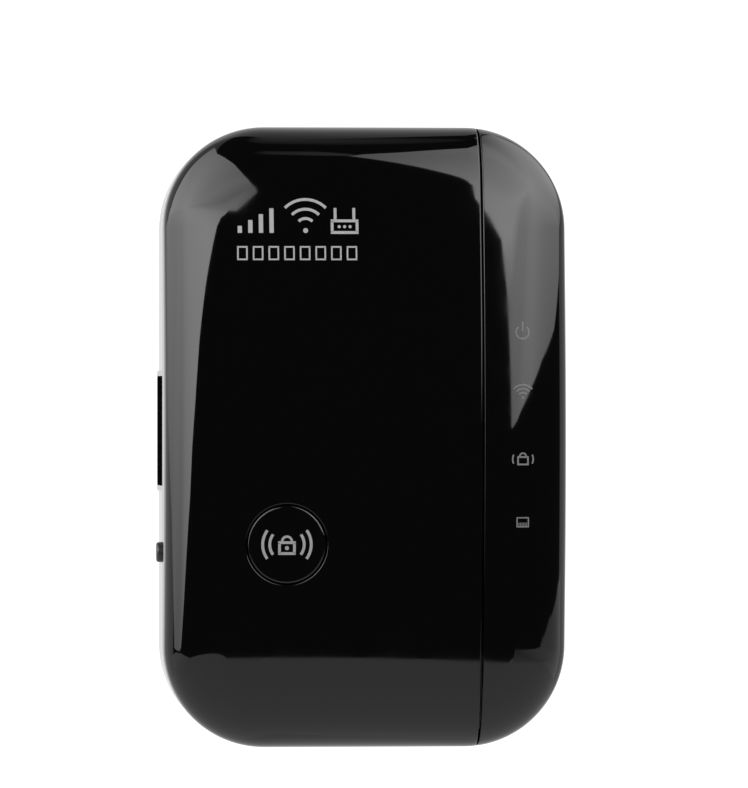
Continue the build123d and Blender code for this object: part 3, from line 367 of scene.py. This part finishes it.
def skin(side, edge_x, offsets=(0.0, WALL), rounding=EDGE_R, far_x=None, back_y=None):
    """Closed moulding wall between two offsets under the front, on one side of a seam plane.

    side is -1 for what lies left of edge_x and 1 for what lies right of it. The wall can end
    at a second plane too, at far_x, and in front of the depth back_y.
    """
    mesh = front_grid()
    cut(mesh, (edge_x, 0, 0), (-side, 0, 0), True)
    if far_x is not None:
        cut(mesh, (far_x, 0, 0), (side, 0, 0), True)
    if back_y is not None:
        cut(mesh, (0, back_y, 0), (0, 1, 0), True)
    for angle in EDGE_ANGLES if rounding else ():
        edge_in = rounding * (1 - math.sin(math.radians(angle)))
        cut(mesh, (edge_x + side * edge_in, 0, 0), (1, 0, 0), False)
    place = np.array([v.co for v in mesh.verts])
    x = place[:, 0]
    near = np.clip(np.abs(x - edge_x) / SEAM_FADE, 0, 1)
    if far_x is not None:
        near = np.minimum(near, np.clip(np.abs(x - far_x) / SEAM_FADE, 0, 1))
    turned = front_normal(x, place[:, 2])
    turned[:, 0] *= near
    along = unit(turned)
    drop = np.zeros(len(place))
    if rounding:
        over = np.clip(rounding - np.abs(x - edge_x), 0, rounding)
        drop = rounding - np.sqrt(rounding**2 - over**2)
    outer = place - along * (offsets[0] + drop)[:, None]
    inner = place - along * offsets[1]

    loops = [edge.link_loops[0] for edge in mesh.edges if edge.is_boundary]
    border = [(loop.vert, loop.link_loop_next.vert) for loop in loops]
    faces, originals = mesh.faces[:], mesh.verts[:]
    twin = {v: mesh.verts.new(point) for v, point in zip(originals, inner)}
    for v, point in zip(originals, outer):
        v.co = point
    for face in faces:
        mesh.faces.new([twin[v] for v in reversed(face.verts)])
    for start, end in border:
        mesh.faces.new((end, start, twin[start], twin[end]))
    return mesh


def add_leg(mesh, side, z):
    """Snap leg with its barb, on the left (-1) or the right (1)."""
    profile = [(LEG_IN, LEG_ROOT_Y), (LEG_OUT, LEG_ROOT_Y), (LEG_OUT, BARB_Y), (BARB_X, BARB_Y),
               (LEG_OUT, LEG_END_Y), (LEG_IN, LEG_END_Y)]
    low, high = [
        [mesh.verts.new((side * x, y, height)) for x, y in profile]
        for height in (z - LEG_HALF_W, z + LEG_HALF_W)
    ]
    mesh.faces.new(low)
    mesh.faces.new(high[::-1])
    join_loops(mesh, [high, low])


def add_boss(mesh, x, z, outer_r, inner_r, front):
    """Closed screw boss with its hole, along Y."""
    turns = [math.tau * i / BOSS_SIDES for i in range(BOSS_SIDES)]
    corners = ((outer_r, front), (outer_r, BOSS_BACK_Y), (inner_r, BOSS_BACK_Y), (inner_r, front))
    join_loops(mesh, [
        [mesh.verts.new((x + radius * math.cos(turn), y, z + radius * math.sin(turn))) for turn in turns]
        for radius, y in corners
    ], closed=True)


def to_object(name, mesh, scale=1.0):
    """Linked object made from a bmesh, which is used up."""
    bmesh.ops.recalc_face_normals(mesh, faces=mesh.faces)
    data = bpy.data.meshes.new(name)
    mesh.to_mesh(data)
    mesh.free()
    data.transform(Matrix.Scale(scale, 4))
    obj = bpy.data.objects.new(name, data)
    bpy.context.collection.objects.link(obj)
    return obj


def read_vectors(items, name):
    """Array of a vector property, one row per item."""
    values = np.empty(len(items) * 3)
    items.foreach_get(name, values)
    return values.reshape(-1, 3)


def read_counts(items, name):
    """Array of a whole-number property."""
    values = np.empty(len(items), int)
    items.foreach_get(name, values)
    return values


def smooth_front(data):
    """Smooth shading with sharp edges kept, and exact normals wherever a face lies on the front."""
    data.shade_smooth()
    data.set_sharp_from_angle(angle=SHARP_ANGLE)
    shaded = read_vectors(data.corner_normals, "vector")
    place = read_vectors(data.vertices, "co")[read_counts(data.loops, "vertex_index")] / MM
    x, z = place[:, 0], place[:, 2]
    exact = front_normal(x, z)
    flat = read_vectors(data.polygons, "normal")
    flat = np.repeat(flat, read_counts(data.polygons, "loop_total"), axis=0)
    on_front = (np.abs(place[:, 1] - front_y(x, z)) < FRONT_TOLERANCE) & (inset(x, z) > FRONT_INSET)
    on_front &= (exact * flat).sum(1) > FRONT_FACING
    data.normals_split_custom_set(np.where(on_front[:, None], exact, shaded).tolist())


def finish_piece(name, mesh, node, slot):
    """Smooth piece in metres from a millimetre bmesh, standing for a CAD node."""
    piece = to_object(name, mesh, MM)
    smooth_front(piece.data)
    piece.data.materials.append(MATERIALS[slot])
    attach(piece, "housing")
    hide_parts(node)


def button_hole_cutter():
    """Plug that cuts the button's hole with a small rounded edge that follows the crown."""
    profile = [(HOLE_R, CUTTER_BACK)]       # radius, depth behind the front surface
    for angle in HOLE_EDGE_ANGLES:
        turn = math.radians(angle)
        profile.append((HOLE_R + HOLE_EDGE_R * (1 - math.cos(turn)), HOLE_EDGE_R * (1 - math.sin(turn))))
    profile += [(HOLE_R + CUTTER_FLARE, CUTTER_LIFT), (HOLE_R + CUTTER_FLARE, CUTTER_FRONT)]
    mesh = bmesh.new()
    turns = np.arange(HOLE_SIDES) / HOLE_SIDES * math.tau
    loops = []
    for radius, depth in profile:
        x, z = BUTTON_X + radius * np.cos(turns), BUTTON_Z + radius * np.sin(turns)
        loops.append([mesh.verts.new(point) for point in zip(x, front_y(x, z) + depth, z)])
    join_loops(mesh, loops)
    mesh.faces.new(loops[0])
    mesh.faces.new(loops[-1][::-1])
    return to_object("hole_cutter", mesh)


def cut_button_hole(mesh):
    """The bmesh with the button's hole cut out of it."""
    body, cutter = to_object("uncut_cover", mesh), button_hole_cutter()
    boolean = body.modifiers.new("hole", "BOOLEAN")
    boolean.operation, boolean.solver, boolean.object = "DIFFERENCE", "EXACT", cutter
    bpy.context.view_layer.update()
    result = bmesh.new()
    result.from_object(body, bpy.context.evaluated_depsgraph_get())
    for scratch in (body, cutter):
        bpy.data.meshes.remove(scratch.data)
    return result


def add_front_mouldings():
    """Front cover and indicator cover with their hidden legs, bosses and lip."""
    cover = cut_button_hole(skin(-1, SEAM_X - SEAM_GAP / 2))
    for z in LEFT_LEGS:
        add_leg(cover, -1, z)
    for boss in BOSSES:
        add_boss(cover, *boss)
    finish_piece("front_cover_shell", cover, "front_cover", "gloss_black")

    strip = skin(1, SEAM_X + SEAM_GAP / 2)
    for z in RIGHT_LEGS:
        add_leg(strip, 1, z)
    lip = skin(1, SEAM_X - LIP_REACH, LIP_OFFSETS, 0, SEAM_X + LIP_REACH, LIP_BACK_Y)
    lip_data = bpy.data.meshes.new("lip")
    lip.to_mesh(lip_data)
    lip.free()
    strip.from_mesh(lip_data)
    bpy.data.meshes.remove(lip_data)
    finish_piece("indicator_cover_shell", strip, "indicator_cover", "gloss_black")


# ---------------------------------------------------------------- prints, in mm
INK_LIFT, INK_T = 0.014, 0.01
DOT_SIDES = 20
ARC_STEP, LEAST_ARC_STEPS = 7, 6    # degrees
LINE_STEP = 0.5                     # short enough to follow the crown

WAVES_X, WAVES_Z, WAVES_LIFT, WAVES_R, WAVES_DOT_R = -8.2, 26.5, 0.3, (1.25, 2.45, 3.7), 0.32
BARS, BARS_X, BARS_Z, BARS_PITCH, BAR_W = 4, -16.6, 26.2, 1.35, 0.55
BAR_FIRST, BAR_GROWTH = 0.9, 0.75   # height of the shortest bar, and how much each adds
ROUTER_X, ROUTER_Z, ROUTER_W, ROUTER_H = -3.2, 27.0, 3.2, 1.5
AERIAL_OUT, AERIAL_Z, LAMP_PITCH, LAMP_R = 1.2, (27.8, 29.4), 0.7, 0.2
BLOCKS, BLOCKS_X, BLOCKS_Z, BLOCKS_PITCH, BLOCK_W, BLOCK_H = 8, -16.3, 23.6, 2.0, 1.15, 1.6
STROKE_W, BLOCK_STROKE_W = 0.36, 0.2

PADLOCK_W, PADLOCK_H, PADLOCK_DROP, PADLOCK_STROKE_W = 1.9, 1.4, 0.45, 0.34
SHACKLE_LIFT, SHACKLE_R, SHACKLE_W, KEYHOLE_R = 0.4, 0.62, 0.3, 0.26
RINGS_R, RING_STARTS, RING_SPAN = (2.2, 3.1), (-36, 144), 72

ICON_X, ICON_W = 19.7, 0.2
POWER_Z, POWER_R, POWER_BAR_Z = 13.5, 0.85, (13.6, 14.8)
WIRELESS_Z, WIRELESS_R, WIRELESS_DOT_R = 5.1, (0.65, 1.15, 1.65), 0.17
PAIRING_Z, PAIRING_SIZE, PAIRING_SHACKLE, PAIRING_WAVE = -3.0, (1.3, 0.95, 0.22), (-2.45, 0.42), (-2.8, 1.35)
PORT_Z, PORT_SIZE, PORT_PINS, PORT_PIN_Z = -10.9, (1.5, 1.15, 0.16), 6, (-11.4, -10.95)
PORT_PINS_OUT, PORT_PIN_PITCH, PORT_PIN_W = 0.5, 0.2, 0.1

LABEL_LOW, LABEL_HIGH = (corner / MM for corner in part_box("rating_label"))
LABEL_MARGIN, LABEL_FRAME_W = 0.8, 0.12
LABEL_BARS, LABEL_BAR_W = (0.9, 0.72, 0.8, 0.55), 0.42      # lengths as shares of the longest
LABEL_BAR_X, LABEL_BAR_Z, LABEL_BAR_PITCH, LABEL_BAR_LENGTH = 1.8, 2.2, 1.7, 11.0
LABEL_SQUARE_X, LABEL_SQUARES, LABEL_SQUARE_W = 3.2, (2.6, 1.5), 0.16


def arc(x, z, radius, start, end):
    """Points along an arc, angles in degrees from +X towards +Z."""
    count = max(LEAST_ARC_STEPS, int(abs(end - start) / ARC_STEP))
    turns = [math.radians(start + (end - start) * i / count) for i in range(count + 1)]
    return [(x + radius * math.cos(turn), z + radius * math.sin(turn)) for turn in turns]


def line(x_from, z_from, x_to, z_to):
    """Points along a straight line."""
    run_x, run_z = x_to - x_from, z_to - z_from
    count = max(1, int(math.hypot(run_x, run_z) / LINE_STEP))
    return [(x_from + run_x * i / count, z_from + run_z * i / count) for i in range(count + 1)]


def frame_lines(x, z, w, h, width):
    """Four strokes of a rectangle's outline."""
    left, right, low, high, over = x - w / 2, x + w / 2, z - h / 2, z + h / 2, width / 2
    ends = [(left - over, low, right + over, low), (left - over, high, right + over, high),
            (left, low, left, high), (right, low, right, high)]
    return [(line(*end), width) for end in ends]


def dot_rows(x, z, radius):
    """Centre and rim of a round dot, point by point."""
    turns = [math.tau * i / DOT_SIDES for i in range(DOT_SIDES)]
    rim = [(x + radius * math.cos(turn), z + radius * math.sin(turn)) for turn in turns]
    return [[(x, z)] * DOT_SIDES, rim]


def stroke_rows(points, width):
    """Both edges of a stroke, point by point."""
    rows = [[], []]
    for i, (x, z) in enumerate(points):
        before, after = points[max(i - 1, 0)], points[min(i + 1, len(points) - 1)]
        run_x, run_z = after[0] - before[0], after[1] - before[1]
        size = math.hypot(run_x, run_z)
        side_x, side_z = -run_z / size * width / 2, run_x / size * width / 2
        rows[0].append((x + side_x, z + side_z))
        rows[1].append((x - side_x, z - side_z))
    return rows


def add_mark(mesh, points, width, surface, outward):
    """One stroke, or a dot of radius width where there is a single point."""
    closed = len(points) == 1
    rows = dot_rows(*points[0], width) if closed else stroke_rows(points, width)
    top, bottom = [
        [[mesh.verts.new((x, float(surface(x, z)) + outward * lift, z)) for x, z in row] for row in rows]
        for lift in (INK_LIFT, INK_LIFT - INK_T)
    ]
    count = len(rows[0])
    for i in range(count if closed else count - 1):
        j = (i + 1) % count
        mesh.faces.new((top[0][i], top[0][j], top[1][j], top[1][i]))
        mesh.faces.new((bottom[1][i], bottom[1][j], bottom[0][j], bottom[0][i]))
        mesh.faces.new((top[1][i], top[1][j], bottom[1][j], bottom[1][i]))
        if not closed:
            mesh.faces.new((bottom[0][i], bottom[0][j], top[0][j], top[0][i]))
    if not closed:
        for i in (0, count - 1):
            mesh.faces.new((top[0][i], top[1][i], bottom[1][i], bottom[0][i]))


def add_print(name, strokes, body, surface, ink, outward=-1):
    """Thin ink strokes, each (points, width), laid on a surface y(x, z)."""
    mesh = bmesh.new()
    for points, width in strokes:
        add_mark(mesh, points, width, surface, outward)
    bmesh.ops.remove_doubles(mesh, verts=mesh.verts, dist=WELD)
    bmesh.ops.dissolve_degenerate(mesh, edges=mesh.edges, dist=WELD)
    piece = to_object(name, mesh, MM)
    piece.data.materials.append(MATERIALS[ink])
    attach(piece, body)


def front_marks():
    """Wave fan, signal bars, router box with two aerials, and a row of empty blocks."""
    marks = [([(WAVES_X, WAVES_Z)], WAVES_DOT_R)]
    marks += [(arc(WAVES_X, WAVES_Z + WAVES_LIFT, radius, 135, 45), STROKE_W) for radius in WAVES_R]
    for i in range(BARS):
        x = BARS_X + BARS_PITCH * i
        marks.append((line(x, BARS_Z, x, BARS_Z + BAR_FIRST + BAR_GROWTH * i), BAR_W))
    marks += frame_lines(ROUTER_X, ROUTER_Z, ROUTER_W, ROUTER_H, STROKE_W)
    for x in (ROUTER_X - AERIAL_OUT, ROUTER_X + AERIAL_OUT):
        marks.append((line(x, AERIAL_Z[0], x, AERIAL_Z[1]), STROKE_W))
    marks += [([(ROUTER_X + LAMP_PITCH * i, ROUTER_Z)], LAMP_R) for i in (-1, 0, 1)]
    for i in range(BLOCKS):
        marks += frame_lines(BLOCKS_X + BLOCKS_PITCH * i, BLOCKS_Z, BLOCK_W, BLOCK_H, BLOCK_STROKE_W)
    return marks


def button_marks():
    """Padlock between two pairs of arcs."""
    low = BUTTON_Z - PADLOCK_DROP
    marks = frame_lines(BUTTON_X, low, PADLOCK_W, PADLOCK_H, PADLOCK_STROKE_W)
    marks.append((arc(BUTTON_X, BUTTON_Z + SHACKLE_LIFT, SHACKLE_R, 180, 0), SHACKLE_W))
    marks.append(([(BUTTON_X, low)], KEYHOLE_R))
    for start in RING_STARTS:
        marks += [(arc(BUTTON_X, BUTTON_Z, radius, start, start + RING_SPAN), STROKE_W) for radius in RINGS_R]
    return marks


def power_marks():
    """Open circle with a bar."""
    bar = line(ICON_X, POWER_BAR_Z[0], ICON_X, POWER_BAR_Z[1])
    return [(arc(ICON_X, POWER_Z, POWER_R, 130, 410), ICON_W), (bar, ICON_W)]


def wireless_marks():
    """Small wave fan."""
    waves = [(arc(ICON_X, WIRELESS_Z, radius, 138, 42), ICON_W) for radius in WIRELESS_R]
    return [([(ICON_X, WIRELESS_Z)], WIRELESS_DOT_R)] + waves


def pairing_marks():
    """Small padlock between two arcs."""
    (shackle_z, shackle_r), (wave_z, wave_r) = PAIRING_SHACKLE, PAIRING_WAVE
    arcs = [(shackle_z, shackle_r, 180, 0), (wave_z, wave_r, 155, 205), (wave_z, wave_r, -25, 25)]
    return frame_lines(ICON_X, PAIRING_Z, *PAIRING_SIZE) + [(arc(ICON_X, *bend), ICON_W) for bend in arcs]


def port_marks():
    """Network socket with its contacts."""
    pins = [ICON_X - PORT_PINS_OUT + PORT_PIN_PITCH * i for i in range(PORT_PINS)]
    lines = [(line(x, PORT_PIN_Z[0], x, PORT_PIN_Z[1]), PORT_PIN_W) for x in pins]
    return frame_lines(ICON_X, PORT_Z, *PORT_SIZE) + lines


def label_marks():
    """Border, four plain bars and two nested squares; the label is read from behind, so from +X."""
    middle, size = (LABEL_LOW + LABEL_HIGH) / 2, LABEL_HIGH - LABEL_LOW
    marks = frame_lines(
        middle.x, middle.z, size.x - 2 * LABEL_MARGIN, size.z - 2 * LABEL_MARGIN, LABEL_FRAME_W)
    x = LABEL_HIGH.x - LABEL_BAR_X
    for i, share in enumerate(LABEL_BARS):
        z = LABEL_HIGH.z - LABEL_BAR_Z - LABEL_BAR_PITCH * i
        marks.append((line(x, z, x - LABEL_BAR_LENGTH * share, z), LABEL_BAR_W))
    for side in LABEL_SQUARES:
        marks += frame_lines(LABEL_LOW.x + LABEL_SQUARE_X, middle.z, side, side, LABEL_SQUARE_W)
    return marks


def add_prints():
    """Generic pictograms in place of the maker's lettering and marks."""
    add_print("front_pictogram", front_marks(), "housing", front_y, "ink_light")
    add_print("button_pictogram", button_marks(), "push_button", front_y, "ink_mid")
    add_print("icon_power", power_marks(), "housing", front_y, "ink_dim")
    add_print("icon_wireless", wireless_marks(), "housing", front_y, "ink_dim")
    add_print("icon_pairing", pairing_marks(), "housing", front_y, "ink_dim")
    add_print("icon_port", port_marks(), "housing", front_y, "ink_dim")
    add_print("label_marks", label_marks(), "housing", lambda x, z: LABEL_HIGH.y, "ink_dark", outward=1)


# ---------------------------------------------------------------- studio
SHELL_RADIUS, FILL_RADIUS, PANEL_RADIUS = 0.95, 0.93, 0.85
BAND_STEP = 6                       # degrees
FLOOR_Z, FLOOR_SIZE = -0.12, 3.0
WORLD_STRENGTH = 1.2
TABLE = -21.0                       # below this elevation the surroundings are a pale table
BACKDROP = 150.0                    # beyond this azimuth, either way, they are the white backdrop
ZENITH = 89.9
AROUND, BEHIND = (-BACKDROP, BACKDROP), (BACKDROP, 360 - BACKDROP)

BANDS = [
    # name, azimuths, elevations, glow at the foot and at the top, radius
    ("room", AROUND, (TABLE, 80), 0.025, 0.025, SHELL_RADIUS),
    ("ceiling", AROUND, (80, ZENITH), 0.1, 0.3, SHELL_RADIUS),
    ("table_glow", AROUND, (-ZENITH, TABLE), 0.85, 0.68, SHELL_RADIUS),
    ("backdrop", BEHIND, (-20, 50), 0.95, 0.85, SHELL_RADIUS),
    ("backdrop_top", BEHIND, (50, ZENITH), 0.8, 0.3, SHELL_RADIUS),
    ("backdrop_foot", BEHIND, (-ZENITH, -20), 0.7, 0.8, SHELL_RADIUS),
    ("left_fill", (-BACKDROP, -104), (TABLE, 62), 0.6, 0.35, FILL_RADIUS),
    ("right_fill", (112, BACKDROP), (TABLE, 16), 0.5, 0.3, FILL_RADIUS),
]
PANELS = {
    # name: middle and corners of a soft light, each (azimuth, elevation, brightness)
    "panel_left": ((-72, 24, 4.7), [
        (-7.7, 22.9, 2.0), (-12.2, 31, 2.6), (-18.4, 39, 2.4), (-31, 50, 2.6), (-48, 57, 2.8),
        (-85, 61, 2.6), (-126, 57, 1.6), (-123, 50, 1.7), (-120, 41, 2.2), (-117, 30, 2.6),
        (-120, 17, 2.6), (-131, 5, 1.7), (-141, 3, 0.6), (-140, 1, 0.6), (-126, -1, 1.0),
        (-116, -3, 1.2), (-103, -8, 1.5), (-93, -12, 1.3), (-84, -14, 1.5), (-76, -11, 2.6),
        (-69, -7.5, 3.2), (-63, -4.5, 3.6), (-59, -1, 4.0), (-53, 2.5, 4.3), (-45, 8, 4.6),
        (-35, 13, 4.9), (-26, 16.7, 5.0), (-20, 19, 4.8), (-15.7, 21, 4.2), (-12, 21.1, 3.8),
        (-10, 21.1, 3.2),
    ]),
    "panel_right": ((62, 34, 4.9), [
        (6, 58.5, 1.6), (11, 48, 2.2), (14, 38, 2.8), (16.4, 29, 3.4), (17.2, 22, 4.2),
        (18.6, 20.2, 4.8), (19.8, 18, 4.9), (20, 13, 3.0), (20, 7, 2.6), (20, 0.6, 2.2),
        (28, 2.2, 2.8), (41, 3.8, 3.0), (61, 5.4, 2.4), (92, 5.4, 1.6), (111, 6, 1.2),
        (120, 10, 0.9), (142, 17, 0.9), (146, 29, 1.0), (146, 40, 1.2), (150, 50, 1.2),
        (140, 64, 0.9), (101, 74, 1.0), (60, 71, 2.2), (28, 68, 2.2), (16, 64, 1.9), (9, 61.5, 1.7),
    ]),
    "left_foot": ((-92, -18, 0.8), [
        (-60, -21.5, 0.7), (-80, -16, 0.8), (-95, -13, 0.8), (-110, -13, 0.7), (-110, -21.5, 0.7),
        (-90, -22, 0.7),
    ]),
    "right_foot": ((95, -17, 0.72), [
        (24, -19.8, 0.3), (38, -19.2, 0.5), (52, -17.6, 0.57), (65, -14.5, 0.57), (80, -11.2, 0.5),
        (93, -9, 0.53), (107, -6.4, 0.64), (118, -5, 0.8), (118, -21.6, 0.9), (70, -21.8, 0.75),
        (24, -21.8, 0.5),
    ]),
    "streak": ((-3, 62.5, 0.34), [
        (7, 59, 0.5), (7, 62, 0.4), (2, 66, 0.3), (-14, 65, 0.1), (-26, 63, 0.0), (-14, 60, 0.1),
        (0, 59.5, 0.3),
    ]),
}


def direction(azimuth, elevation):
    """Unit vector from the object: azimuth 0 is towards -Y, 90 towards +X."""
    a, e = math.radians(azimuth), math.radians(elevation)
    return Vector((math.sin(a) * math.cos(e), -math.cos(a) * math.cos(e), math.sin(e)))


def only_reflected(obj):
    """A stage card that shows in reflections and nowhere else."""
    obj.visible_camera = False
    obj.visible_diffuse = False
    obj.visible_shadow = False
    obj.visible_transmission = False
    obj.visible_volume_scatter = False


def glow_material(name):
    """Emission whose strength is the mesh's own brightness attribute."""
    mat = bpy.data.materials.new(name)
    mat.use_nodes = True
    nodes, links = mat.node_tree.nodes, mat.node_tree.links
    nodes.clear()
    brightness = nodes.new("ShaderNodeAttribute")
    brightness.attribute_name = "brightness"
    emission = nodes.new("ShaderNodeEmission")
    output = nodes.new("ShaderNodeOutputMaterial")
    links.new(brightness.outputs["Fac"], emission.inputs["Strength"])
    links.new(emission.outputs["Emission"], output.inputs["Surface"])
    mat.cycles.emission_sampling = "NONE"
    return mat


def add_card(name, glow, points, faces, brightness):
    """Stage mesh with one brightness per point."""
    mesh = bpy.data.meshes.new(name)
    mesh.from_pydata(points, [], faces)
    values = mesh.attributes.new("brightness", "FLOAT", "POINT")
    values.data.foreach_set("value", brightness)
    mesh.materials.append(glow)
    card = bpy.data.objects.new(name, mesh)
    bpy.context.collection.objects.link(card)
    only_reflected(card)


def add_band(name, glow, azimuths, elevations, low_glow, high_glow, radius):
    """Part of a shell round the object, whose glow changes evenly from its foot to its top."""
    steps_a, steps_e = (
        max(2, int(abs(ends[1] - ends[0]) / BAND_STEP)) for ends in (azimuths, elevations))
    points, faces, brightness = [], [], []
    for i in range(steps_a + 1):
        azimuth = azimuths[0] + (azimuths[1] - azimuths[0]) * i / steps_a
        for j in range(steps_e + 1):
            elevation = elevations[0] + (elevations[1] - elevations[0]) * j / steps_e
            points.append(direction(azimuth, elevation) * radius)
            brightness.append(low_glow + (high_glow - low_glow) * j / steps_e)
    for i in range(steps_a):
        for j in range(steps_e):
            k = i * (steps_e + 1) + j
            faces.append((k, k + 1, k + steps_e + 2, k + steps_e + 1))
    add_card(name, glow, points, faces, brightness)


def add_panel(name, glow, middle, corners):
    """Soft light: a fan from its middle to its corners."""
    around = [middle] + corners
    points = [direction(azimuth, elevation) * PANEL_RADIUS for azimuth, elevation, _ in around]
    faces = [(0, i, i + 1 if i < len(corners) else 1) for i in range(1, len(around))]
    add_card(name, glow, points, faces, [brightness for _, _, brightness in around])


def add_floor():
    """Pale table that only throws light back up; it isn't seen, so views from below stay open."""
    mesh = bpy.data.meshes.new("floor")
    half = FLOOR_SIZE / 2
    corners = [(x, y, FLOOR_Z) for x, y in ((-half, -half), (half, -half), (half, half), (-half, half))]
    mesh.from_pydata(corners, [], [(0, 1, 2, 3)])
    mesh.materials.append(material("floor", (0.85, 0.85, 0.85), 0.9, grain=2.0, spread=0.05))
    floor = bpy.data.objects.new("floor", mesh)
    floor.visible_camera = False
    floor.visible_glossy = False
    bpy.context.collection.objects.link(floor)


def add_studio():
    """Dark room, pale table, white backdrop, and one large soft light at each side."""
    glow = glow_material("studio_glow")
    for name, *band in BANDS:
        add_band(name, glow, *band)
    for name, (middle, corners) in PANELS.items():
        add_panel(name, glow, middle, corners)
    add_floor()


def add_world():
    """Even white light for everything that isn't a reflection."""
    world = bpy.data.worlds.new("studio")
    world.use_nodes = True
    back = world.node_tree.nodes["Background"]
    back.inputs["Color"].default_value = (1, 1, 1, 1)
    back.inputs["Strength"].default_value = WORLD_STRENGTH
    world.cycles.sampling_method = "NONE"
    bpy.context.scene.world = world


add_camera()
finish_nodes()
add_front_mouldings()
add_prints()
add_studio()
add_world()
bpy.context.scene.view_settings.view_transform = "Standard"
